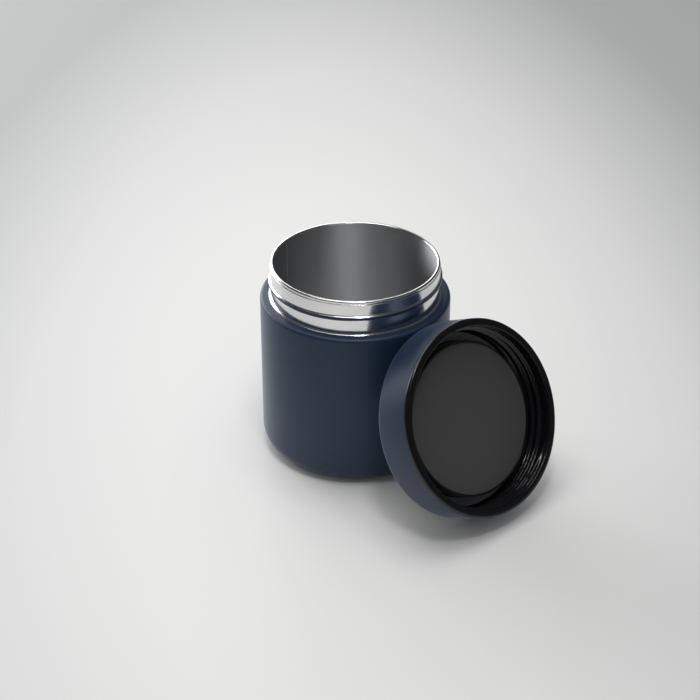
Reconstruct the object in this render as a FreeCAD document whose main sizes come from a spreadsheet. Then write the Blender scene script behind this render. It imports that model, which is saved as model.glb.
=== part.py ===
"""Insulated food jar with its screw lid taken off and leaning on the jar.

The jar is a double-walled steel vessel: a coated outer shell whose shoulder turns up into a bare
beaded neck, and a straight steel liner whose rolled lip sits on the neck's top edge. The space between
them is pumped out through a port in the vacuum base, which a pressed cover hides.
The lid is a coated cover over a moulded cap. The cap's plug is packed with foam and closed by a
plate, and a silicone ring lies in the channel where the jar's lip lands.

Millimetres. The origin is on the jar's axis, on the surface it stands on. +Z is up and the lid
leans against the jar's +X side. A lid piece is drawn in the lid's own frame, where Z is the depth
from the rim's plane and the closed top is the high end.
"""

import FreeCAD, Part
import os

import Sketcher

SIZES = [
    ("body_radius", 45.0, "outer radius of the jar"),
    ("shell_wall", 0.6, "sheet of the outer shell"),
    ("shoulder_height", 80.3, "top of the shoulder above the floor"),
    ("shoulder_round", 1.8, "outer round of the shoulder"),
    ("base_round", 10.0, "round between side and foot"),
    ("foot_width", 2.0, "flat width of the foot ring"),
    ("foot_round", 0.9, "round of the foot's inner edge"),
    ("hem_height", 3.0, "height of the hem inside the foot"),
    ("shoulder_width", 5.0, "from the neck out to the side"),
    ("neck_round", 0.8, "hollow round where neck meets shoulder"),
    ("bead_depth", 8.35, "neck bead below the lip's top"),
    ("bead_rise", 0.9, "height of the neck bead"),
    ("bead_foot", 2.6, "width of the neck bead at its foot"),
    ("bead_crest", 1.0, "width of the neck bead at its crest"),
    ("neck_height", 17.1, "from the shoulder up to the lip's top"),
    ("neck_gap", 0.7, "space between neck and liner"),
    ("lip_step", 0.2, "the lip's edge inside the neck's"),
    ("lip_depth", 1.6, "height of the rolled lip"),
    ("lip_round", 0.7, "round of the lip"),
    ("liner_sheet", 0.5, "sheet of the liner"),
    ("liner_round", 8.0, "outer round of the liner's base"),
    ("liner_floor", 8.0, "underside of the liner above the floor"),
    ("liner_seam", 20.0, "height of the weld between liner wall and base"),
    ("foil_sheet", 0.2, "thickness of the foil wrap"),
    ("foil_low", 24.0, "lower edge of the foil wrap"),
    ("foil_drop", 4.3, "upper edge of the foil wrap below the shoulder"),
    ("pan_sheet", 0.6, "sheet of the vacuum base"),
    ("pan_skirt", 1.3, "height of the vacuum base's skirt"),
    ("dimple_radius", 4.5, "radius of the pumping dimple"),
    ("dimple_rise", 1.2, "rise of the pumping dimple"),
    ("port_radius", 0.8, "radius of the pumping hole"),
    ("seal_bead_radius", 3.2, "radius of the glass bead over the hole"),
    ("seal_bead_height", 1.0, "height of the glass bead"),
    ("seal_bead_round", 0.6, "round of the glass bead"),
    ("cover_sheet", 0.5, "sheet of the base cover"),
    ("cover_fit", 0.1, "play between base cover and hem"),
    ("cover_border", 12.0, "width of the base cover's low border"),
    ("cover_rise", 0.5, "rise of the base cover's centre"),
    ("getter_place", 18.0, "getter's distance from the axis"),
    ("getter_radius", 4.2, "radius of the getter pellet"),
    ("getter_height", 1.6, "height of the getter pellet"),
    ("dish_sheet", 0.4, "sheet of the getter dish"),
    ("dish_height", 1.2, "height of the getter dish"),
    ("lid_overhang", 0.5, "the lid's side outside the jar's"),
    ("lid_sheet", 0.8, "wall of the lid cover"),
    ("lid_round", 4.0, "outer round of the lid's closed end"),
    ("rim_height", 1.8, "height of the cap's rim below the cover"),
    ("rim_round", 1.2, "outer round of the cap's rim"),
    ("rim_inner_round", 0.5, "inner round of the cap's rim"),
    ("closed_gap", 0.5, "gap between closed lid and shoulder"),
    ("skirt_play", 1.0, "play between the neck's bead and the cap's skirt"),
    ("cap_fit", 0.1, "play between cap and lid cover"),
    ("cap_air", 1.4, "air between cap and lid cover at the closed end"),
    ("cap_ceiling", 1.2, "thickness of the cap's closed end"),
    ("cap_round", 2.5, "round of the cap's closed end"),
    ("rib_pitch", 4.5, "spacing of the ribs inside the skirt"),
    ("rib_rise", 1.4, "height of a rib inside the skirt"),
    ("rib_foot", 2.6, "width of a rib at its foot"),
    ("rib_crest", 0.8, "width of a rib at its crest"),
    ("seat_slope", 1.0, "height of the slope down to the seal's seat"),
    ("seat_length", 3.6, "height of the seal's seat with its slope"),
    ("seat_play", 0.5, "play between neck and seat"),
    ("plug_length", 9.7, "height of the plug"),
    ("plug_play", 2.4, "play between plug and liner"),
    ("plug_wall", 2.0, "wall of the plug"),
    ("plug_round", 0.4, "round of the plug's edge"),
    ("plug_edge", 1.0, "from the plug plate's edge out to the plug's"),
    ("plate_sheet", 1.6, "thickness of the plug plate"),
    ("plate_sink", 0.1, "plug plate below the plug's edge"),
    ("plate_fit", 0.25, "open groove round the plug plate"),
    ("plate_round", 0.3, "round of the plug plate's edge"),
    ("foam_fit", 0.1, "play round the foam"),
    ("seal_height", 2.0, "thickness of the silicone ring"),
    ("seal_fit", 0.3, "play of the silicone ring in its channel"),
    ("seal_back", 0.1, "gap behind the silicone ring"),
    ("seal_round", 0.5, "round of the silicone ring's corners"),
    ("lean_drop", 2.28, "where the leaning lid touches the side, below the shoulder"),
    ("lean_gap", 0.3, "gap between leaning lid and jar"),
]

FOLLOWING = [
    ("foot_radius", "body_radius - base_round - foot_width", "inner radius of the foot ring"),
    ("neck_radius", "body_radius - shoulder_width", "outer radius of the neck"),
    ("liner_radius", "neck_radius - shell_wall - neck_gap", "outer radius of the liner"),
    ("mouth_radius", "liner_radius - liner_sheet", "inner radius of the liner"),
    ("lip_radius", "neck_radius - lip_step", "outer radius of the rolled lip"),
    ("mouth_height", "shoulder_height + neck_height", "top of the lip above the floor"),
    ("bead_height", "mouth_height - bead_depth", "middle of the neck bead above the floor"),
    ("foil_high", "shoulder_height - foil_drop", "upper edge of the foil wrap"),
    ("cover_step", "foot_radius - cover_border", "radius of the base cover's raised centre"),
    ("lid_radius", "body_radius + lid_overhang", "outer radius of the lid"),
    ("cap_bore", "neck_radius + bead_rise + skirt_play", "inner radius of the cap's skirt"),
    ("cap_roof", "neck_height - closed_gap + seal_height", "depth of the cap's inside end"),
    ("cap_back", "cap_roof + cap_ceiling", "depth of the cap's outside end"),
    ("lid_height", "cap_back + cap_air + lid_sheet", "height of the lid"),
    ("rib_middle", "neck_height - bead_depth - closed_gap", "the bead's depth in the closed lid"),
    ("seat_depth", "cap_roof - seat_length", "depth where the skirt narrows to the seat"),
    ("seat_radius", "neck_radius + seat_play", "outer radius of the seal's seat"),
    ("plug_depth", "cap_roof - plug_length", "depth of the plug's face"),
    ("plug_radius", "mouth_radius - plug_play", "outer radius of the plug"),
    ("plate_radius", "plug_radius - plug_edge", "radius of the plug plate"),
    ("lean_rise", "shoulder_height - lean_drop - lid_round", "rise from floor round to touch"),
    ("lean_span", "2 * (lid_radius - lid_round)", "span between the lid's rounds"),
    ("lean_angle", "acos(min(0.99; lean_rise / lean_span))", "tilt of the leaning lid's axis"),
]


class Size:
    """A length that knows its number now and its formula over the sheet's aliases."""

    def __init__(self, number, formula):
        self.number = number
        self.formula = formula

    def __add__(self, other):
        return Size(self.number + other.number, f"({self.formula} + {other.formula})")

    def __sub__(self, other):
        return Size(self.number - other.number, f"({self.formula} - {other.formula})")

    def half(self):
        return Size(self.number / 2, f"({self.formula} / 2)")


doc = FreeCAD.newDocument("FoodJar")
sheet = doc.addObject("Spreadsheet::Sheet", "Sizes")
for row, (alias, value, note) in enumerate(SIZES, start=1):
    sheet.set(f"A{row}", note)
    sheet.set(f"B{row}", str(value))
    sheet.setAlias(f"B{row}", alias)
for row, (alias, formula, note) in enumerate(FOLLOWING, start=len(SIZES) + 1):
    sheet.set(f"A{row}", note)
    sheet.set(f"B{row}", f"={formula}")
    sheet.setAlias(f"B{row}", alias)
    doc.recompute()

aliases = [row[0] for row in SIZES + FOLLOWING]
numbers = {alias: getattr(sheet.get(alias), "Value", sheet.get(alias)) for alias in aliases}
named = {alias: Size(float(numbers[alias]), f"Sizes.{alias}") for alias in aliases}
ZERO = Size(0.0, "0")
pieces = []


def s(alias):
    """The driving size with this alias."""
    return named[alias]


def new_body(label):
    """A PartDesign body that becomes one node."""
    body = doc.addObject("PartDesign::Body", label)
    body.Label = label
    pieces.append(body)
    return body


def origin_plane(body, role):
    """One of the body's own origin planes."""
    return next(item for item in body.Origin.OriginFeatures if item.Role == role)


def closed_sketch(body, name, corners):
    """A closed outline on the body's XZ plane with every corner's radius and height bound."""
    sketch = body.newObject("Sketcher::SketchObject", name)
    sketch.AttachmentSupport = [(origin_plane(body, "XZ_Plane"), "")]
    sketch.MapMode = "FlatFace"
    points = [FreeCAD.Vector(radius.number, height.number, 0) for radius, height in corners]
    lines = [Part.LineSegment(a, b) for a, b in zip(points, points[1:] + points[:1])]
    sketch.addGeometry(lines, False)
    for index in range(len(lines)):
        after = (index + 1) % len(lines)
        sketch.addConstraint(Sketcher.Constraint("Coincident", index, 2, after, 1))
    for index, (radius, height) in enumerate(corners):
        bind_corner(sketch, index, "DistanceX", radius, -2)
        bind_corner(sketch, index, "DistanceY", height, -1)
    return sketch


def bind_corner(sketch, index, kind, length, axis):
    """Ties a line's start to its axis when the length is zero, else to its formula."""
    if length is ZERO:
        sketch.addConstraint(Sketcher.Constraint("PointOnObject", index, 1, axis))
        return
    place = sketch.addConstraint(
        Sketcher.Constraint(kind, -1, 1, index, 1, length.number))
    sketch.setExpression(f"Constraints[{place}]", length.formula)


def turned(label, corners):
    """A body turned from one closed outline of (radius, height) corners."""
    body = new_body(label)
    sketch = closed_sketch(body, f"{label}_outline", corners)
    turn = body.newObject("PartDesign::Revolution", f"{label}_turn")
    turn.Profile = sketch
    turn.ReferenceAxis = (sketch, ["V_Axis"])
    turn.Angle = 360
    body.Tip = turn
    doc.recompute()
    return body


def circle_edges(shape, radius, height):
    """Names of the shape's circular edges at this radius and height."""
    found = []
    for number, edge in enumerate(shape.Edges, start=1):
        if not isinstance(edge.Curve, Part.Circle):
            continue
        same_radius = abs(edge.Curve.Radius - radius.number) < 1e-3
        same_height = abs(edge.Curve.Center.z - height.number) < 1e-3
        if same_radius and same_height:
            found.append(f"Edge{number}")
    return found


def rounded(body, name, radius, corners):
    """Rounds the circular edges at these (radius, height) corners."""
    before = body.Tip
    edges = []
    for corner in corners:
        found = circle_edges(before.Shape, *corner)
        if not found:
            raise ValueError(f"{name}: no edge at {corner[0].number}, {corner[1].number}")
        edges += found
    fillet = body.newObject("PartDesign::Fillet", f"{body.Label}_{name}")
    fillet.Base = (before, edges)
    fillet.Radius = radius.number
    fillet.setExpression("Radius", radius.formula)
    body.Tip = fillet
    doc.recompute()


def ridge(base, crest, middle, foot_width, crest_width):
    """Four corners of a ridge, from its high side to its low side."""
    return [
        (base, middle + foot_width.half()),
        (crest, middle + crest_width.half()),
        (crest, middle - crest_width.half()),
        (base, middle - foot_width.half()),
    ]


def make_outer_shell():
    """Side, shoulder and neck in one sheet, with a rolled bead and an inner foot hem."""
    wall = s("shell_wall")
    foot = s("foot_radius")
    side = s("body_radius")
    shoulder = s("shoulder_height")
    neck = s("neck_radius")
    neck_top = s("mouth_height") - s("lip_depth")
    crest = neck + s("bead_rise")
    widths = (s("bead_foot"), s("bead_crest"))
    inner_neck = neck - wall
    bead_out = ridge(neck, crest, s("bead_height"), *widths)
    bead_in = ridge(inner_neck, crest - wall, s("bead_height"), *widths)
    outline = [
        (foot, s("hem_height")),
        (foot, ZERO),
        (side, ZERO),
        (side, shoulder),
        (neck, shoulder),
    ]
    outline += reversed(bead_out)
    outline += [(neck, neck_top), (inner_neck, neck_top)]
    outline += bead_in
    outline += [
        (inner_neck, shoulder - wall),
        (side - wall, shoulder - wall),
        (side - wall, wall),
        (foot + wall, wall),
        (foot + wall, s("hem_height")),
    ]
    body = turned("outer_shell", outline)
    rounded(body, "base", s("base_round"), [(side, ZERO)])
    rounded(body, "base_inside", s("base_round") - wall, [(side - wall, wall)])
    rounded(body, "shoulder", s("shoulder_round"), [(side, shoulder)])
    rounded(body, "shoulder_inside", s("shoulder_round") - wall, [(side - wall, shoulder - wall)])
    rounded(body, "neck", s("neck_round"), [(neck, shoulder)])
    rounded(body, "foot", s("foot_round"), [(foot, ZERO)])


def make_liner_wall():
    """Straight tube with the rolled lip that sits on the neck's top edge."""
    inner = s("mouth_radius")
    outer = s("liner_radius")
    top = s("mouth_height")
    under = top - s("lip_depth")
    lip = s("lip_radius")
    body = turned("liner_wall", [
        (inner, s("liner_seam")),
        (outer, s("liner_seam")),
        (outer, under),
        (lip, under),
        (lip, top),
        (inner, top),
    ])
    rounded(body, "lip", s("lip_round"), [(lip, top), (inner, top)])


def make_liner_base():
    """Deep-drawn pan that closes the liner and is welded to its wall."""
    inner = s("mouth_radius")
    outer = s("liner_radius")
    under = s("liner_floor")
    floor = under + s("liner_sheet")
    body = turned("liner_base", [
        (ZERO, under),
        (outer, under),
        (outer, s("liner_seam")),
        (inner, s("liner_seam")),
        (inner, floor),
        (ZERO, floor),
    ])
    rounded(body, "corner", s("liner_round"), [(outer, under)])
    rounded(body, "corner_inside", s("liner_round") - s("liner_sheet"), [(inner, floor)])


def make_foil_wrap():
    """Foil round the liner in the pumped-out space."""
    inner = s("liner_radius")
    outer = inner + s("foil_sheet")
    turned("foil_wrap", [
        (inner, s("foil_low")),
        (outer, s("foil_low")),
        (outer, s("foil_high")),
        (inner, s("foil_high")),
    ])


def make_vacuum_base():
    """Plate on the hem that closes the shell, with a dimple and its pumping hole."""
    sheet_wall = s("pan_sheet")
    low = s("hem_height")
    high = low + sheet_wall
    foot = s("foot_radius")
    skirt_low = low - s("pan_skirt")
    rim = foot + s("shell_wall")
    hole = s("port_radius")
    dimple = s("dimple_radius")
    rise = s("dimple_rise")
    turned("vacuum_base", [
        (hole, low + rise),
        (dimple, low + rise),
        (dimple, low),
        (foot - sheet_wall, low),
        (foot - sheet_wall, skirt_low),
        (foot, skirt_low),
        (foot, low),
        (rim, low),
        (rim, high),
        (dimple + sheet_wall, high),
        (dimple + sheet_wall, high + rise),
        (hole, high + rise),
    ])


def make_port_seal():
    """Glass bead in the dimple, with the stem that fills the pumping hole."""
    ceiling = s("hem_height") + s("dimple_rise")
    low = ceiling - s("seal_bead_height")
    body = turned("port_seal", [
        (ZERO, low),
        (s("seal_bead_radius"), low),
        (s("seal_bead_radius"), ceiling),
        (s("port_radius"), ceiling),
        (s("port_radius"), ceiling + s("pan_sheet")),
        (ZERO, ceiling + s("pan_sheet")),
    ])
    rounded(body, "dome", s("seal_bead_round"), [(s("seal_bead_radius"), low)])


def make_base_cover():
    """Pressed disc under the vacuum base, the piece seen when the jar is turned over."""
    high = s("hem_height") - s("pan_skirt")
    low = high - s("cover_sheet")
    step = s("cover_step")
    rise = s("cover_rise")
    rim = s("foot_radius") - s("cover_fit")
    turned("base_cover", [
        (ZERO, low + rise),
        (step, low + rise),
        (step, low),
        (rim, low),
        (rim, high),
        (step + s("cover_sheet"), high),
        (step + s("cover_sheet"), high + rise),
        (ZERO, high + rise),
    ])


def place_getter(body):
    """Moves a getter piece onto the vacuum base, beside the dimple."""
    body.setExpression("Placement.Base.x", s("getter_place").formula)
    body.setExpression("Placement.Base.z", (s("hem_height") + s("pan_sheet")).formula)


def make_getter():
    """Pellet that soaks up stray gas, in its dish on the vacuum base."""
    wall = s("dish_sheet")
    inner = s("getter_radius")
    dish = turned("getter_dish", [
        (ZERO, ZERO),
        (inner + wall, ZERO),
        (inner + wall, s("dish_height")),
        (inner, s("dish_height")),
        (inner, wall),
        (ZERO, wall),
    ])
    place_getter(dish)
    pellet = turned("getter", [
        (ZERO, wall),
        (inner, wall),
        (inner, wall + s("getter_height")),
        (ZERO, wall + s("getter_height")),
    ])
    place_getter(pellet)


def lean(body):
    """Turns a lid piece to the lean and moves it against the jar and onto the floor."""
    turn = FreeCAD.Rotation(FreeCAD.Vector(0, -1, 0), 90 + s("lean_angle").number)
    body.Placement = FreeCAD.Placement(FreeCAD.Vector(0, 0, 0), turn)
    body.setExpression("Placement.Rotation.Angle", "90 deg + Sizes.lean_angle")
    along = "(Sizes.lid_height - Sizes.lid_round)"
    across = "(Sizes.lid_radius - Sizes.lid_round)"
    reach = f"{along} * cos(Sizes.lean_angle) + {across} * sin(Sizes.lean_angle)"
    rise = f"{along} * sin(Sizes.lean_angle) + {across} * cos(Sizes.lean_angle)"
    start = "Sizes.body_radius + Sizes.lean_gap + Sizes.lid_round"
    body.setExpression("Placement.Base.x", f"{start} + {reach}")
    body.setExpression("Placement.Base.z", f"Sizes.lid_round + {rise}")


def rib_depths():
    """Depths of the two ribs, half a pitch to each side of the bead when the lid is closed."""
    half = s("rib_pitch").half()
    return [s("rib_middle") + half, s("rib_middle") - half]


def make_lid_cover():
    """Coated outer cup of the lid."""
    outer = s("lid_radius")
    inner = outer - s("lid_sheet")
    top = s("lid_height")
    inside = top - s("lid_sheet")
    body = turned("lid_cover", [
        (outer, s("rim_height")),
        (outer, top),
        (ZERO, top),
        (ZERO, inside),
        (inner, inside),
        (inner, s("rim_height")),
    ])
    rounded(body, "crown", s("lid_round"), [(outer, top)])
    rounded(body, "crown_inside", s("lid_round") - s("lid_sheet"), [(inner, inside)])
    lean(body)


def make_lid_cap():
    """Moulded cap: rim, ribbed skirt, seat for the ring, and the hollow plug."""
    outer = s("lid_radius")
    skirt = outer - s("lid_sheet") - s("cap_fit")
    bore = s("cap_bore")
    crest = bore - s("rib_rise")
    widths = (s("rib_foot"), s("rib_crest"))
    hollow = s("plug_radius") - s("plug_wall")
    rebate = s("plate_radius") + s("plate_fit")
    ledge = s("plug_depth") + s("plate_sink") + s("plate_sheet")
    outline = [
        (outer, ZERO),
        (outer, s("rim_height")),
        (skirt, s("rim_height")),
        (skirt, s("cap_back")),
        (ZERO, s("cap_back")),
        (ZERO, s("cap_roof")),
        (hollow, s("cap_roof")),
        (hollow, ledge),
        (rebate, ledge),
        (rebate, s("plug_depth")),
        (s("plug_radius"), s("plug_depth")),
        (s("plug_radius"), s("cap_roof")),
        (s("seat_radius"), s("cap_roof")),
        (s("seat_radius"), s("seat_depth") + s("seat_slope")),
        (bore, s("seat_depth")),
    ]
    for middle in rib_depths():
        outline += ridge(bore, crest, middle, *widths)
    outline.append((bore, ZERO))
    body = turned("lid_cap", outline)
    rounded(body, "rim", s("rim_round"), [(outer, ZERO)])
    rounded(body, "rim_inside", s("rim_inner_round"), [(bore, ZERO)])
    rounded(body, "closed_end", s("cap_round"), [(skirt, s("cap_back"))])
    rounded(body, "plug_edge", s("plug_round"), [(s("plug_radius"), s("plug_depth"))])
    lean(body)


def make_plug_plate():
    """Plate that closes the plug, flush with its edge."""
    face = s("plug_depth") + s("plate_sink")
    back = face + s("plate_sheet")
    radius = s("plate_radius")
    body = turned("plug_plate", [
        (ZERO, face),
        (radius, face),
        (radius, back),
        (ZERO, back),
    ])
    rounded(body, "edge", s("plate_round"), [(radius, face)])
    lean(body)


def make_foam_disc():
    """Foam that fills the plug."""
    low = s("plug_depth") + s("plate_sink") + s("plate_sheet")
    radius = s("plug_radius") - s("plug_wall") - s("foam_fit")
    body = turned("foam_disc", [
        (ZERO, low),
        (radius, low),
        (radius, s("cap_roof")),
        (ZERO, s("cap_roof")),
    ])
    lean(body)


def make_seal_ring():
    """Silicone ring in the channel between plug and seat."""
    inner = s("plug_radius") + s("seal_fit")
    outer = s("seat_radius") - s("seal_fit")
    high = s("cap_roof") - s("seal_back")
    low = high - s("seal_height")
    body = turned("seal_ring", [
        (inner, low),
        (outer, low),
        (outer, high),
        (inner, high),
    ])
    corners = [(inner, low), (outer, low), (outer, high), (inner, high)]
    rounded(body, "corners", s("seal_round"), corners)
    lean(body)


def check_document():
    """Stops if an object failed or a piece is not one sound solid."""
    for item in doc.Objects:
        if "Invalid" in item.State or "Error" in item.State:
            raise ValueError(f"{item.Label} did not recompute: {item.State}")
    for body in pieces:
        if body.Shape.isNull() or not body.Shape.isValid():
            raise ValueError(f"{body.Label} is not a valid shape")
        if len(body.Shape.Solids) != 1:
            raise ValueError(f"{body.Label} has {len(body.Shape.Solids)} solids")


make_outer_shell()
make_liner_wall()
make_liner_base()
make_foil_wrap()
make_vacuum_base()
make_port_seal()
make_base_cover()
make_getter()
make_lid_cover()
make_lid_cap()
make_plug_plate()
make_foam_disc()
make_seal_ring()
doc.recompute()
check_document()

os.makedirs("parts", exist_ok=True)
for body in pieces:
    body.Shape.exportStep(f"parts/{body.Label}.step")
    box = body.Shape.BoundBox
    print(f"{body.Label}: volume {body.Shape.Volume:.1f}, "
          f"x {box.XMin:.2f}..{box.XMax:.2f}, z {box.ZMin:.2f}..{box.ZMax:.2f}")
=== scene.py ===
# %% [markdown]
# # Insulated food jar, dressed for its photograph
#
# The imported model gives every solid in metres, in one frame: the origin is on the jar's axis at
# the surface it stands on, and +X points at the leaning lid. This notebook keeps the solids that
# are already right, replaces the ones seen close up with finer turned pieces, gives each surface
# its finish, and lights the jar as a product photographer would.

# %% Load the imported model
import math

import bmesh
import bpy
from mathutils import Matrix, Vector


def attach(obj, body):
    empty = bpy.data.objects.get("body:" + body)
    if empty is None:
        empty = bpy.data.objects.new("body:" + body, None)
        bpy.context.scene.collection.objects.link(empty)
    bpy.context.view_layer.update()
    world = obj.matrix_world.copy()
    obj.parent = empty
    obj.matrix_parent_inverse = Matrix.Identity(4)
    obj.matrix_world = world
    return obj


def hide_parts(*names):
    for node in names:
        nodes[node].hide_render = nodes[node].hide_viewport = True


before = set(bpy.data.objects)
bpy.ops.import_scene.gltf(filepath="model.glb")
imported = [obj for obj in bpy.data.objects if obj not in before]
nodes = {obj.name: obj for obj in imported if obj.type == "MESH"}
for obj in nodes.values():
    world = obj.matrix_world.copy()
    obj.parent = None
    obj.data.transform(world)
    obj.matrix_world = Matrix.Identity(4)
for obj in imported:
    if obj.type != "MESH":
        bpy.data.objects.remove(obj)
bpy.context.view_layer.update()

print("solids:", ", ".join(sorted(nodes)))

# %% [markdown]
# ## The camera
#
# One camera was fitted to the edges of the mouth, the shoulder, the foot and the lid's rim. It
# looks down at 31 degrees from the side where the lid shows its inside. It comes first, so that
# every later choice can be judged in the photograph's own frame.

# %% Camera
MM = 0.001
CAMERA_TURN = math.radians(46.3)
CAMERA_TILT = math.radians(31.24)
CAMERA_PLACE = Vector((-2.46, -750.77, 503.66)) * MM
CAMERA_LENS = 93.83

camera_data = bpy.data.cameras.new("photo_camera")
camera = bpy.data.objects.new("photo_camera", camera_data)
bpy.context.scene.collection.objects.link(camera)
bpy.context.scene.camera = camera
camera_data.sensor_width = 36.0
camera_data.lens = CAMERA_LENS
camera_data.clip_start = 0.01
camera_data.clip_end = 50.0
camera_turn = Matrix.Rotation(CAMERA_TURN, 4, "Z")
camera.location = camera_turn @ CAMERA_PLACE
camera.rotation_euler = (math.pi / 2 - CAMERA_TILT, 0, CAMERA_TURN)
print("camera at", tuple(round(c, 4) for c in camera.location))

# %% [markdown]
# ## Tools for turned pieces
#
# Nearly every piece of this jar is made on a lathe, a spinning tool or in a round mould. So each
# one starts as a chain of corners in the XZ plane. A vertex bevel rounds each corner by its own
# amount, and one full spin turns the chain into a closed surface. Subdivision surfaces could
# round the edges too, but then no radius would have a known size.

# %% Helpers for turned pieces
STEPS = 288
ROUND_SEGMENTS = 6
SHARP_ANGLE = math.radians(40)
# In mm: how near a vertex counts as on a wall, and how near two vertices become one.
ON_WALL = 0.01
MERGE_DISTANCE = 0.001


def chain(bm, corners, closed):
    """Draws (radius, height, round) corners in mm as one chain of edges, with rounded corners."""
    verts = [bm.verts.new((radius * MM, 0, height * MM)) for radius, height, _ in corners]
    for here, after in zip(verts, verts[1:]):
        bm.edges.new((here, after))
    if closed:
        bm.edges.new((verts[-1], verts[0]))
    for vert, (_, _, rounding) in zip(verts, corners):
        if rounding:
            bmesh.ops.bevel(bm, geom=[vert], offset=rounding * MM, offset_type="OFFSET",
                            segments=ROUND_SEGMENTS, profile=0.5, affect="VERTICES", material=-1)


def split_upright(bm, radius, low, high, length):
    """Cuts the upright edges at this radius and between these heights into short ones, in mm."""
    for edge in list(bm.edges):
        ends = [vert.co / MM for vert in edge.verts]
        at_radius = all(abs(end.x - radius) < ON_WALL for end in ends)
        in_reach = all(low - ON_WALL < end.z < high + ON_WALL for end in ends)
        if at_radius and in_reach:
            cuts = int(abs(ends[0].z - ends[1].z) / length)
            if cuts > 1:
                bmesh.ops.subdivide_edges(bm, edges=[edge], cuts=cuts)


def spin_round(bm):
    """Turns the chain a full circle about the Z axis and closes its seam and its poles."""
    bmesh.ops.spin(bm, geom=bm.verts[:] + bm.edges[:], cent=(0, 0, 0), axis=(0, 0, 1),
                   angle=2 * math.pi, steps=STEPS, use_merge=True, use_duplicate=False)
    bmesh.ops.remove_doubles(bm, verts=bm.verts, dist=MERGE_DISTANCE * MM)
    bmesh.ops.recalc_face_normals(bm, faces=bm.faces)


def add_piece(name, bm, body, materials, slot, *replaced):
    """Makes an object from the bmesh, which rides on a body and stands for CAD nodes."""
    mesh = bpy.data.meshes.new(name)
    bm.to_mesh(mesh)
    bm.free()
    mesh.shade_smooth()
    mesh.set_sharp_from_angle(angle=SHARP_ANGLE)
    for material in materials:
        mesh.materials.append(material)
    piece = bpy.data.objects.new(name, mesh)
    bpy.context.scene.collection.objects.link(piece)
    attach(piece, body)
    if replaced:
        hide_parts(*replaced)
    print(f"{name}: {len(mesh.polygons)} faces")


# %% [markdown]
# ## Finishes
#
# Each finish is one Principled shader with its detail from noise on Object coordinates, so it
# keeps its size on every piece and in every view. A picture of each surface could be wrapped on
# instead, but it would need a layout for every piece and would show where it repeats.
#
# The navy coat is a fine powder coat. Its grain is about 0.4 mm and breaks the reflection up, and
# a thin sheen lightens it where it turns away from the eye. The neck is buffed steel. The liner
# is brushed round and round: its shader stretches each reflection across the brush marks, so a
# lamp becomes one upright streak. The cap is moulded plastic and the ring is silicone.

# %% Helpers for finishes
# Most of a noise texture's values lie between these two.
NOISE_LOW = 0.3
NOISE_HIGH = 0.7


def new_finish(name, colour, metallic, roughness):
    """A material with a Principled shader. Returns the material, its nodes and the shader."""
    material = bpy.data.materials.new(name)
    material.use_nodes = True
    tree = material.node_tree
    shader = tree.nodes["Principled BSDF"]
    shader.inputs["Base Color"].default_value = (*colour, 1)
    shader.inputs["Metallic"].default_value = metallic
    shader.inputs["Roughness"].default_value = roughness
    material.diffuse_color = (*colour, 1)
    return material, tree, shader


def object_noise(tree, scale, detail=2.0, stretch=(1, 1, 1)):
    """A noise texture on Object coordinates. Scale is in waves per metre."""
    place = tree.nodes.new("ShaderNodeTexCoord")
    mapping = tree.nodes.new("ShaderNodeMapping")
    mapping.inputs["Scale"].default_value = stretch
    noise = tree.nodes.new("ShaderNodeTexNoise")
    noise.inputs["Scale"].default_value = scale
    noise.inputs["Detail"].default_value = detail
    tree.links.new(place.outputs["Object"], mapping.inputs["Vector"])
    tree.links.new(mapping.outputs["Vector"], noise.inputs["Vector"])
    return noise


def vary_roughness(tree, shader, noise, low, high):
    """Lets a noise move the roughness between two values."""
    spread = tree.nodes.new("ShaderNodeMapRange")
    spread.inputs["From Min"].default_value = NOISE_LOW
    spread.inputs["From Max"].default_value = NOISE_HIGH
    spread.inputs["To Min"].default_value = low
    spread.inputs["To Max"].default_value = high
    tree.links.new(noise.outputs["Fac"], spread.inputs["Value"])
    tree.links.new(spread.outputs["Result"], shader.inputs["Roughness"])


def vary_colour(tree, shader, noise, dark, light):
    """Lets a noise move the base colour between two colours."""
    ramp = tree.nodes.new("ShaderNodeValToRGB")
    ramp.color_ramp.elements[0].position = NOISE_LOW
    ramp.color_ramp.elements[0].color = (*dark, 1)
    ramp.color_ramp.elements[1].position = NOISE_HIGH
    ramp.color_ramp.elements[1].color = (*light, 1)
    tree.links.new(noise.outputs["Fac"], ramp.inputs["Fac"])
    tree.links.new(ramp.outputs["Color"], shader.inputs["Base Color"])


def add_bump(tree, shader, noise, strength, height):
    """Raises the surface by a noise. Height is in metres."""
    bump = tree.nodes.new("ShaderNodeBump")
    bump.inputs["Strength"].default_value = strength
    bump.inputs["Distance"].default_value = height
    tree.links.new(noise.outputs["Fac"], bump.inputs["Height"])
    tree.links.new(bump.outputs["Normal"], shader.inputs["Normal"])


# %% The navy powder coat
coat, tree, shader = new_finish("navy_powder_coat", (0.004, 0.018, 0.052), 0.0, 0.48)
grain = object_noise(tree, 2600, detail=3.0)
vary_colour(tree, shader, grain, (0.003, 0.016, 0.047), (0.005, 0.022, 0.063))
vary_roughness(tree, shader, grain, 0.44, 0.54)
add_bump(tree, shader, grain, 0.3, 0.00003)
shader.inputs["Specular IOR Level"].default_value = 0.6
shader.inputs["Sheen Weight"].default_value = 0.35
shader.inputs["Sheen Roughness"].default_value = 0.3
shader.inputs["Sheen Tint"].default_value = (0.84, 0.9, 1.0, 1)
shader.inputs["Specular Tint"].default_value = (0.86, 0.93, 1.0, 1)
print("coat:", coat.name)

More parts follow.
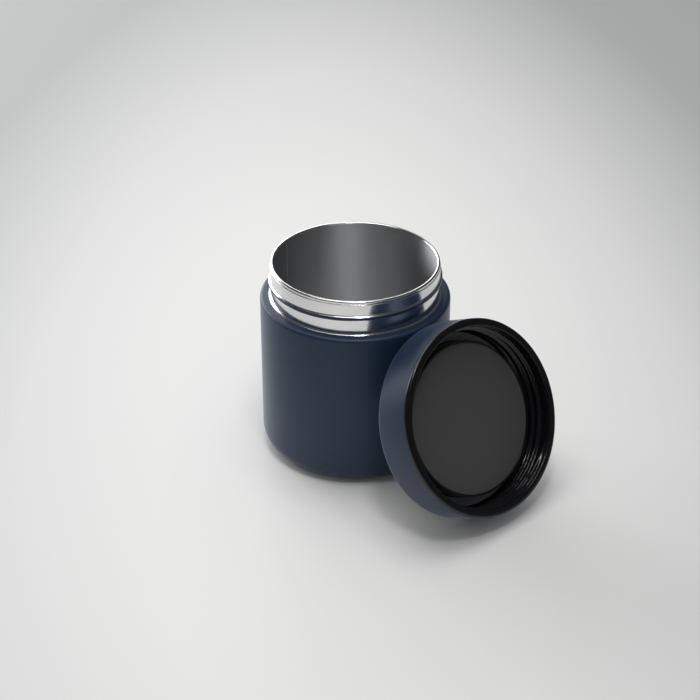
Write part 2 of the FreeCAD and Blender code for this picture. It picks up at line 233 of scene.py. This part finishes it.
# %% The steels
neck_steel, tree, shader = new_finish("buffed_neck_steel", (0.78, 0.78, 0.78), 1.0, 0.14)
buffing = object_noise(tree, 300, detail=4.0, stretch=(0.6, 0.6, 8.0))
vary_roughness(tree, shader, buffing, 0.1, 0.19)
add_bump(tree, shader, buffing, 0.05, 0.00001)

liner_steel, tree, shader = new_finish("brushed_liner_steel", (0.6, 0.61, 0.62), 1.0, 0.46)
brushing = object_noise(tree, 260, detail=5.0, stretch=(0.5, 0.5, 14.0))
vary_roughness(tree, shader, brushing, 0.42, 0.5)
add_bump(tree, shader, brushing, 0.08, 0.00002)
shader.inputs["Anisotropic"].default_value = 0.85
shader.inputs["Anisotropic Rotation"].default_value = 0.25
round_the_axis = tree.nodes.new("ShaderNodeTangent")
round_the_axis.direction_type = "RADIAL"
round_the_axis.axis = "Z"
tree.links.new(round_the_axis.outputs["Tangent"], shader.inputs["Tangent"])

drawn_steel, tree, shader = new_finish("satin_drawn_steel", (0.72, 0.73, 0.74), 1.0, 0.42)
drawing = object_noise(tree, 500, detail=4.0)
vary_roughness(tree, shader, drawing, 0.38, 0.48)
add_bump(tree, shader, drawing, 0.06, 0.00002)

sheet_steel, tree, shader = new_finish("pressed_sheet_steel", (0.56, 0.56, 0.57), 1.0, 0.35)
rolling = object_noise(tree, 240, detail=4.0, stretch=(1.0, 12.0, 1.0))
vary_roughness(tree, shader, rolling, 0.3, 0.45)
add_bump(tree, shader, rolling, 0.1, 0.00002)
print("steels:", neck_steel.name, liner_steel.name, drawn_steel.name, sheet_steel.name)

# %% Plastics and silicone
cap_plastic, tree, shader = new_finish("black_cap_plastic", (0.005, 0.0055, 0.007), 0.0, 0.18)
moulding = object_noise(tree, 900, detail=2.0)
vary_roughness(tree, shader, moulding, 0.16, 0.21)
add_bump(tree, shader, moulding, 0.02, 0.00001)

plate_plastic, tree, shader = new_finish("charcoal_plate_plastic", (0.06, 0.06, 0.061), 0.0, 0.5)
spark = object_noise(tree, 3500, detail=3.0)
vary_colour(tree, shader, spark, (0.054, 0.054, 0.055), (0.067, 0.067, 0.068))
vary_roughness(tree, shader, spark, 0.45, 0.56)
add_bump(tree, shader, spark, 0.2, 0.00002)

silicone, tree, shader = new_finish("grey_silicone", (0.15, 0.16, 0.18), 0.0, 0.55)
bloom = object_noise(tree, 900, detail=3.0)
vary_colour(tree, shader, bloom, (0.135, 0.145, 0.163), (0.165, 0.176, 0.198))
vary_roughness(tree, shader, bloom, 0.5, 0.62)
add_bump(tree, shader, bloom, 0.08, 0.00002)
print("plastics and silicone:", cap_plastic.name, plate_plastic.name, silicone.name)

# %% Finishes of the hidden pieces
foil, tree, shader = new_finish("crinkled_foil", (0.85, 0.85, 0.86), 1.0, 0.2)
crinkle = object_noise(tree, 220, detail=4.0)
vary_roughness(tree, shader, crinkle, 0.15, 0.3)
add_bump(tree, shader, crinkle, 0.5, 0.0002)

solder_glass, tree, shader = new_finish("dark_solder_glass", (0.05, 0.035, 0.025), 0.0, 0.15)
flow = object_noise(tree, 700, detail=2.0)
vary_colour(tree, shader, flow, (0.04, 0.028, 0.02), (0.07, 0.05, 0.035))
add_bump(tree, shader, flow, 0.2, 0.0001)

getter_powder, tree, shader = new_finish("pressed_getter_powder", (0.2, 0.2, 0.2), 0.3, 0.8)
powder = object_noise(tree, 4000, detail=2.0)
vary_colour(tree, shader, powder, (0.15, 0.15, 0.15), (0.26, 0.26, 0.25))
add_bump(tree, shader, powder, 0.5, 0.0001)

foam, tree, shader = new_finish("white_beaded_foam", (0.8, 0.8, 0.78), 0.0, 0.9)
beads = object_noise(tree, 400, detail=1.0)
vary_colour(tree, shader, beads, (0.72, 0.72, 0.7), (0.85, 0.85, 0.83))
add_bump(tree, shader, beads, 0.6, 0.0003)
print("finishes:", len(bpy.data.materials))

# %% [markdown]
# ## Outer shell and neck
#
# The outer shell is one drawn cup: side, shoulder and neck are the same sheet. The thread is
# rolled into the neck from inside, so it is soft at its foot and fades in and out. The solid has
# a level bead there. Here the neck gets short rows of faces and each vertex near the
# thread's line is pushed outwards, which is what the roller does. A ridge swept along a helix
# would be quicker, but it would sit on the neck like a wire and lack the rolled foot.

# %% The thread's shape
THREAD_PITCH = 4.5


def ridge_height(distance, foot, crest):
    """Height of a ridge from 0 to 1 at this distance from its middle line."""
    reach = (foot / 2 - abs(distance)) / (foot / 2 - crest / 2)
    reach = min(max(reach, 0.0), 1.0)
    return reach * reach * (3 - 2 * reach)


def press_thread(bm, wall, low, high, thread, outwards):
    """Moves the wall's vertices along a thread's line, in mm and degrees.

    thread has start_angle, start_height, turns, rise, foot and crest, and climbs with the angle.
    """
    moved = 0
    for vert in bm.verts:
        place = vert.co / MM
        radius = math.hypot(place.x, place.y)
        if abs(radius - wall) > ON_WALL or not low < place.z < high:
            continue
        turned = (math.degrees(math.atan2(place.y, place.x)) - thread["start_angle"]) % 360
        push = 0.0
        while turned <= 360 * thread["turns"]:
            middle = thread["start_height"] + THREAD_PITCH * turned / 360
            to_end = min(turned, 360 * thread["turns"] - turned)
            fade = min(to_end / thread["fade"], 1.0)
            height = ridge_height(place.z - middle, thread["foot"], thread["crest"])
            push = max(push, height * fade * fade * (3 - 2 * fade))
            turned += 360
        if push > 0:
            scale = (radius + outwards * push * thread["rise"]) / radius
            vert.co.x *= scale
            vert.co.y *= scale
            moved += 1
    return moved


# %% The outer shell
BODY_RADIUS = 45.0
SHOULDER = 80.3
NECK = 40.0
NECK_TOP = 95.8
WALL = 0.6
FOOT = 33.0
HEM_HEIGHT = 3.0
FOOT_ROUND = 0.9
BASE_ROUND = 10.0
SHOULDER_ROUND = 1.8
NECK_ROUND = 0.8
THREAD_ROW = 0.2
THREAD_LOW = 82.0
THREAD_HIGH = 95.0
COAT_EDGE = 40.75
ABOVE_BODY = 60
neck_thread = {
    "start_angle": -243.7, "start_height": 86.55, "turns": 400 / 360, "fade": 30,
    "rise": 0.9, "foot": 2.6, "crest": 0.9,
}

bm = bmesh.new()
chain(bm, [
    (FOOT, HEM_HEIGHT, 0),
    (FOOT, 0.0, FOOT_ROUND),
    (BODY_RADIUS, 0.0, BASE_ROUND),
    (BODY_RADIUS, SHOULDER, SHOULDER_ROUND),
    (NECK, SHOULDER, NECK_ROUND),
    (NECK, NECK_TOP, 0.2),
    (NECK - WALL, NECK_TOP, 0),
    (NECK - WALL, SHOULDER - WALL, 0),
    (BODY_RADIUS - WALL, SHOULDER - WALL, SHOULDER_ROUND - WALL),
    (BODY_RADIUS - WALL, WALL, BASE_ROUND - WALL),
    (FOOT + WALL, WALL, FOOT_ROUND - WALL),
    (FOOT + WALL, HEM_HEIGHT, 0),
], closed=True)
split_upright(bm, NECK, SHOULDER, NECK_TOP, THREAD_ROW)
spin_round(bm)
moved = press_thread(bm, NECK, THREAD_LOW, THREAD_HIGH, neck_thread, 1)
print("neck vertices moved by the thread:", moved)
for face in bm.faces:
    middle = face.calc_center_median() / MM
    from_axis = math.hypot(middle.x, middle.y)
    if middle.z > ABOVE_BODY and from_axis < COAT_EDGE:
        face.material_index = 1
add_piece("coated_shell_and_neck", bm, "jar", [coat, neck_steel], "navy_powder_coat",
          "outer_shell")

# %% [markdown]
# ## Liner
#
# The liner is a rolled and welded tube with a turned-out lip, closed by a deep-drawn base. Both
# are turned here from the solids' own sizes. The weld down the inside is real on such a tube: it
# shows in the photograph as one fine upright line, so it is a slim flat bead of its own.

# %% Liner wall and base
MOUTH = 38.2
LINER = 38.7
MOUTH_TOP = 97.4
LIP = 39.8
LIP_ROUND = 0.7
SEAM = 20.0
LINER_FLOOR = 8.0
LINER_ROUND = 8.0
LINER_SHEET = 0.5

bm = bmesh.new()
chain(bm, [
    (MOUTH, SEAM, 0),
    (LINER, SEAM, 0),
    (LINER, NECK_TOP, 0),
    (LIP, NECK_TOP, 0.3),
    (LIP, MOUTH_TOP, LIP_ROUND),
    (MOUTH, MOUTH_TOP, LIP_ROUND),
], closed=True)
spin_round(bm)
add_piece("liner_wall_and_lip", bm, "jar", [liner_steel, neck_steel], "brushed_liner",
          "liner_wall")

bm = bmesh.new()
chain(bm, [
    (0, LINER_FLOOR, 0),
    (LINER, LINER_FLOOR, LINER_ROUND),
    (LINER, SEAM, 0),
    (MOUTH, SEAM, 0),
    (MOUTH, LINER_FLOOR + LINER_SHEET, LINER_ROUND - LINER_SHEET),
    (0, LINER_FLOOR + LINER_SHEET, 0),
], closed=False)
spin_round(bm)
add_piece("liner_drawn_base", bm, "jar", [drawn_steel], "brushed_liner", "liner_base")

# %% Polished lip
POLISH_FROM = 96.6
liner = bpy.data.objects["liner_wall_and_lip"]
polished = 0
for face in liner.data.polygons:
    from_axis = math.hypot(*face.center.xy) / MM
    if face.center.z / MM > POLISH_FROM or from_axis > LINER + 0.1:
        face.material_index = 1
        polished += 1
print("polished lip faces:", polished)

# %% Weld line inside the liner
WELD_ANGLE = math.radians(195)
WELD_RADIUS = 0.3
WELD_FLATNESS = 0.25
WELD_TOP = 96.2
WELD_SUNK = 0.02
bm = bmesh.new()
bmesh.ops.create_circle(bm, cap_ends=True, segments=12, radius=WELD_RADIUS * MM)
bmesh.ops.scale(bm, verts=bm.verts, vec=(WELD_FLATNESS, 1, 1))
grown = bmesh.ops.extrude_face_region(bm, geom=bm.faces[:])
top = [part for part in grown["geom"] if isinstance(part, bmesh.types.BMVert)]
bmesh.ops.translate(bm, verts=top, vec=(0, 0, (WELD_TOP - SEAM) * MM))
bmesh.ops.translate(bm, verts=bm.verts, vec=((MOUTH + WELD_SUNK) * MM, 0, SEAM * MM))
to_weld = Matrix.Rotation(WELD_ANGLE, 3, "Z")
bmesh.ops.rotate(bm, verts=bm.verts, cent=(0, 0, 0), matrix=to_weld)
bmesh.ops.recalc_face_normals(bm, faces=bm.faces)
add_piece("liner_weld_line", bm, "jar", [neck_steel], "brushed_liner")

# %% [markdown]
# ## Lid
#
# The lid lies on its side against the jar. Its pieces are turned upright, with Z as the depth
# from the rim, and one matrix then lays them down. Turning the object would be quicker, but the
# matrix is applied to the mesh, so that the object stays unturned at the origin like the solids.

# %% Where the lid leans
LEAN = math.radians(26.9)
LID_RADIUS = 45.5
LID_HEIGHT = 22.0
LID_ROUND = 4.0
LEAN_GAP = 0.3
along = LID_HEIGHT - LID_ROUND
across = LID_RADIUS - LID_ROUND
rim_x = BODY_RADIUS + LEAN_GAP + LID_ROUND + along * math.cos(LEAN) + across * math.sin(LEAN)
rim_z = LID_ROUND + along * math.sin(LEAN) + across * math.cos(LEAN)
lay_down = Matrix.Translation(Vector((rim_x, 0, rim_z)) * MM)
lay_down @= Matrix.Rotation(-(math.pi / 2 + LEAN), 4, "Y")
print("middle of the lid's rim in mm:", round(rim_x, 2), round(rim_z, 2))

# %% Lid cover
RIM_HEIGHT = 1.8
LID_SHEET = 0.8
COVER_EDGE_ROUND = 0.25
bm = bmesh.new()
chain(bm, [
    (0, LID_HEIGHT, 0),
    (LID_RADIUS, LID_HEIGHT, LID_ROUND),
    (LID_RADIUS, RIM_HEIGHT, COVER_EDGE_ROUND),
    (LID_RADIUS - LID_SHEET, RIM_HEIGHT, 0),
    (LID_RADIUS - LID_SHEET, LID_HEIGHT - LID_SHEET, LID_ROUND - LID_SHEET),
    (0, LID_HEIGHT - LID_SHEET, 0),
], closed=False)
spin_round(bm)
bmesh.ops.transform(bm, matrix=lay_down, verts=bm.verts)
add_piece("coated_lid_cover", bm, "lid", [coat], "navy_powder_coat", "lid_cover")

# %% [markdown]
# ### Cap with its thread
#
# The cap is one moulding: a rim, a skirt with a thread inside, a channel for the ring and a
# hollow plug. The thread starts near the rim, at the lid's right in the photograph and a little
# below its middle. How far it climbs isn't seen, and two and a half turns are a guess. It is
# pressed into the skirt's rows like the neck's, but inwards.

# %% Lid cap
CAP_BORE = 41.9
CAP_SKIRT = 44.6
CAP_BACK = 19.8
CAP_ROOF = 18.6
SEAT = 40.5
SEAT_DEPTH = 15.0
PLUG = 35.8
PLUG_INSIDE = 33.8
PLUG_FACE = 8.9
PLATE = 34.8
PLATE_GROOVE = 0.25
PLATE_SHEET = 1.6
PLATE_SINK = 0.1
CAP_ROUND = 2.5
RIM_ROUND = 1.2
RIM_INNER_ROUND = 0.5
SEAT_SLOPE = 1.0
PLUG_ROUND = 0.4
CAP_THREAD_LOW = 0.8
cap_thread = {
    "start_angle": 125, "start_height": 2.95, "turns": 2.5, "fade": 25,
    "rise": 1.4, "foot": 2.4, "crest": 0.3,
}
ledge = PLUG_FACE + PLATE_SINK + PLATE_SHEET

bm = bmesh.new()
chain(bm, [
    (0, CAP_BACK, 0),
    (CAP_SKIRT, CAP_BACK, CAP_ROUND),
    (CAP_SKIRT, RIM_HEIGHT, 0),
    (LID_RADIUS, RIM_HEIGHT, 0.2),
    (LID_RADIUS, 0, RIM_ROUND),
    (CAP_BORE, 0, RIM_INNER_ROUND),
    (CAP_BORE, SEAT_DEPTH, 0.2),
    (SEAT, SEAT_DEPTH + SEAT_SLOPE, 0.3),
    (SEAT, CAP_ROOF, 0),
    (PLUG, CAP_ROOF, 0),
    (PLUG, PLUG_FACE, PLUG_ROUND),
    (PLATE + PLATE_GROOVE, PLUG_FACE, 0.15),
    (PLATE + PLATE_GROOVE, ledge, 0),
    (PLUG_INSIDE, ledge, 0),
    (PLUG_INSIDE, CAP_ROOF, 0),
    (0, CAP_ROOF, 0),
], closed=False)
split_upright(bm, CAP_BORE, 0.0, SEAT_DEPTH, THREAD_ROW)
spin_round(bm)
moved = press_thread(bm, CAP_BORE, CAP_THREAD_LOW, SEAT_DEPTH, cap_thread, -1)
print("cap vertices moved by the thread:", moved)
bmesh.ops.transform(bm, matrix=lay_down, verts=bm.verts)
add_piece("threaded_cap", bm, "lid", [cap_plastic], "black_plastic", "lid_cap")

# %% Plug plate
PLATE_ROUND = 0.3
bm = bmesh.new()
chain(bm, [
    (0, PLUG_FACE + PLATE_SINK, 0),
    (PLATE, PLUG_FACE + PLATE_SINK, PLATE_ROUND),
    (PLATE, ledge, 0.1),
    (0, ledge, 0),
], closed=False)
spin_round(bm)
bmesh.ops.transform(bm, matrix=lay_down, verts=bm.verts)
add_piece("plug_face_plate", bm, "lid", [plate_plastic], "charcoal_plastic", "plug_plate")

# %% [markdown]
# ### Silicone ring
#
# The ring has two low lips on the face that meets the jar, as such rings do, so that it seals
# on two lines. The photograph doesn't show that face well, so they are a guess. They could be
# laid on top, but the groove between them is sunk instead, so the ring keeps the solid's height.

# %% Silicone ring
SEAL_IN = 36.1
SEAL_OUT = 40.2
SEAL_LOW = 16.5
SEAL_HIGH = 18.5
SEAL_ROUND = 0.4
LIP_WIDTH = 1.1
GROOVE_FROM = 1.5
GROOVE_DEPTH = 0.35
bm = bmesh.new()
chain(bm, [
    (SEAL_IN, SEAL_HIGH, SEAL_ROUND),
    (SEAL_IN, SEAL_LOW, SEAL_ROUND),
    (SEAL_IN + LIP_WIDTH, SEAL_LOW, 0.3),
    (SEAL_IN + GROOVE_FROM, SEAL_LOW + GROOVE_DEPTH, 0.15),
    (SEAL_OUT - GROOVE_FROM, SEAL_LOW + GROOVE_DEPTH, 0.15),
    (SEAL_OUT - LIP_WIDTH, SEAL_LOW, 0.3),
    (SEAL_OUT, SEAL_LOW, SEAL_ROUND),
    (SEAL_OUT, SEAL_HIGH, SEAL_ROUND),
], closed=True)
spin_round(bm)
bmesh.ops.transform(bm, matrix=lay_down, verts=bm.verts)
add_piece("lipped_silicone_ring", bm, "seal", [silicone], "grey_silicone", "seal_ring")

# %% [markdown]
# ## Solids that stay
#
# The pieces inside the walls, in the plug and under the base are simple shapes that the photograph
# hides. They could be turned again like the rest, but no view comes close to them, so the solids
# stay and only get a finish.

# %% Finishes for the kept solids
kept = {
    "foil_wrap": foil,
    "vacuum_base": sheet_steel,
    "base_cover": sheet_steel,
    "getter_dish": sheet_steel,
    "port_seal": solder_glass,
    "getter": getter_powder,
    "foam_disc": foam,
}
for name, material in kept.items():
    mesh = nodes[name].data
    mesh.materials.clear()
    mesh.materials.append(material)
print("kept solids:", ", ".join(kept))

# %% [markdown]
# ## Floor and light
#
# The photograph has a plain pale sweep, brightest around the jar. Stronger lamps could make that
# pool of light, but they could bleach the steel, so the floor's colour has a painted pool of
# light, with painted shade towards the corners.
#
# Four lamps do the rest. A soft box above the jar shades the floor under the rounded foot. A key
# at the left and behind gives the bright left edge and the shadow to the lower right. A large card
# farther back is what the lip and the shoulder's left side mirror. A small lamp high in front
# draws the streak in the brushed liner. An even world fills the shadows, but a mirror sees a
# darker one, as in a studio with black flags, so the thread keeps its black lines.

# %% Floor
FLOOR_SIZE = 2.5
# Floor colours of the painted light: inside the painted pool of light, where it falls off, and the
# painted shade at the corners.
FLOOR_IN_PAINTED_LIGHT_POOL = (0.8, 0.8, 0.79)
FLOOR_IN_PAINTED_FALLOFF = (0.7, 0.705, 0.7)
FLOOR_IN_PAINTED_CORNER_SHADE = (0.45, 0.46, 0.46)
# How far the painted pool of light reaches across the picture and into it, in metres.
PAINTED_POOL_REACH = (0.27, 0.75, 1)

# The floor's colour is painted light: a pool of light round the jar that fades to painted shade at
# the corners.
floor_with_painted_pool, tree, shader = new_finish("floor_with_painted_light_pool", FLOOR_IN_PAINTED_LIGHT_POOL, 0.0, 0.6)
place = tree.nodes.new("ShaderNodeTexCoord")
painted_pool_shape = tree.nodes.new("ShaderNodeMapping")
painted_pool_shape.vector_type = "TEXTURE"
painted_pool_shape.inputs["Rotation"].default_value = (0, 0, CAMERA_TURN)
painted_pool_shape.inputs["Scale"].default_value = PAINTED_POOL_REACH
painted_glow = tree.nodes.new("ShaderNodeTexGradient")
painted_glow.gradient_type = "SPHERICAL"
ramp = tree.nodes.new("ShaderNodeValToRGB")
ramp.color_ramp.elements[0].position = 0.0
ramp.color_ramp.elements[0].color = (*FLOOR_IN_PAINTED_CORNER_SHADE, 1)
ramp.color_ramp.elements[1].position = 0.65
ramp.color_ramp.elements[1].color = (*FLOOR_IN_PAINTED_LIGHT_POOL, 1)
painted_falloff_stop = ramp.color_ramp.elements.new(0.38)
painted_falloff_stop.color = (*FLOOR_IN_PAINTED_FALLOFF, 1)
tree.links.new(place.outputs["Object"], painted_pool_shape.inputs["Vector"])
tree.links.new(painted_pool_shape.outputs["Vector"], painted_glow.inputs["Vector"])
tree.links.new(painted_glow.outputs["Fac"], ramp.inputs["Fac"])
tree.links.new(ramp.outputs["Color"], shader.inputs["Base Color"])
bm = bmesh.new()
bmesh.ops.create_grid(bm, x_segments=1, y_segments=1, size=FLOOR_SIZE)
mesh = bpy.data.meshes.new("floor")
bm.to_mesh(mesh)
bm.free()
mesh.materials.append(floor_with_painted_pool)
floor = bpy.data.objects.new("floor", mesh)
bpy.context.scene.collection.objects.link(floor)
print("floor:", floor.name)

# %% Lamps and world
WORLD_FILL = 0.36
WORLD_IN_GLOSS = 0.06
# Name, place, aim, width in metres and power in watts. The top box aims a hair off straight
# down, since a lamp that looks exactly down has no defined turn.
LAMPS = [
    ("top_box", (-0.1, 0.06, 0.85), (-0.1, 0.0601, 0), 0.5, 2.5),
    ("key_left", (-1.5, 1.25, 0.5), (0, 0, 0.1), 1.2, 19),
    ("back_card", (-0.95, 2.45, 0.8), (0, 0, 0.08), 2.0, 36),
    ("front_spot", (0.05, -0.32, 0.85), (0, 0, 0.05), 0.14, 1.15),
]


def add_lamp(name, place, aim, width, energy):
    """A square soft lamp, placed and aimed in the camera's turned frame, in metres."""
    data = bpy.data.lights.new(name, "AREA")
    data.shape = "SQUARE"
    data.size = width
    data.energy = energy
    lamp = bpy.data.objects.new(name, data)
    bpy.context.scene.collection.objects.link(lamp)
    lamp.location = camera_turn @ Vector(place)
    direction = camera_turn @ Vector(aim) - lamp.location
    lamp.rotation_euler = direction.to_track_quat("-Z", "Y").to_euler()


for row in LAMPS:
    add_lamp(*row)
print("lamps:", ", ".join(row[0] for row in LAMPS))

world = bpy.data.worlds.new("studio")
bpy.context.scene.world = world
world.use_nodes = True
backdrop = world.node_tree.nodes["Background"]
backdrop.inputs["Color"].default_value = (1, 1, 1, 1)
ray_kind = world.node_tree.nodes.new("ShaderNodeLightPath")
level = world.node_tree.nodes.new("ShaderNodeMapRange")
level.inputs["To Min"].default_value = WORLD_FILL
level.inputs["To Max"].default_value = WORLD_IN_GLOSS
world.node_tree.links.new(ray_kind.outputs["Is Glossy Ray"], level.inputs["Value"])
world.node_tree.links.new(level.outputs["Result"], backdrop.inputs["Strength"])
bpy.context.scene.view_settings.view_transform = "Standard"
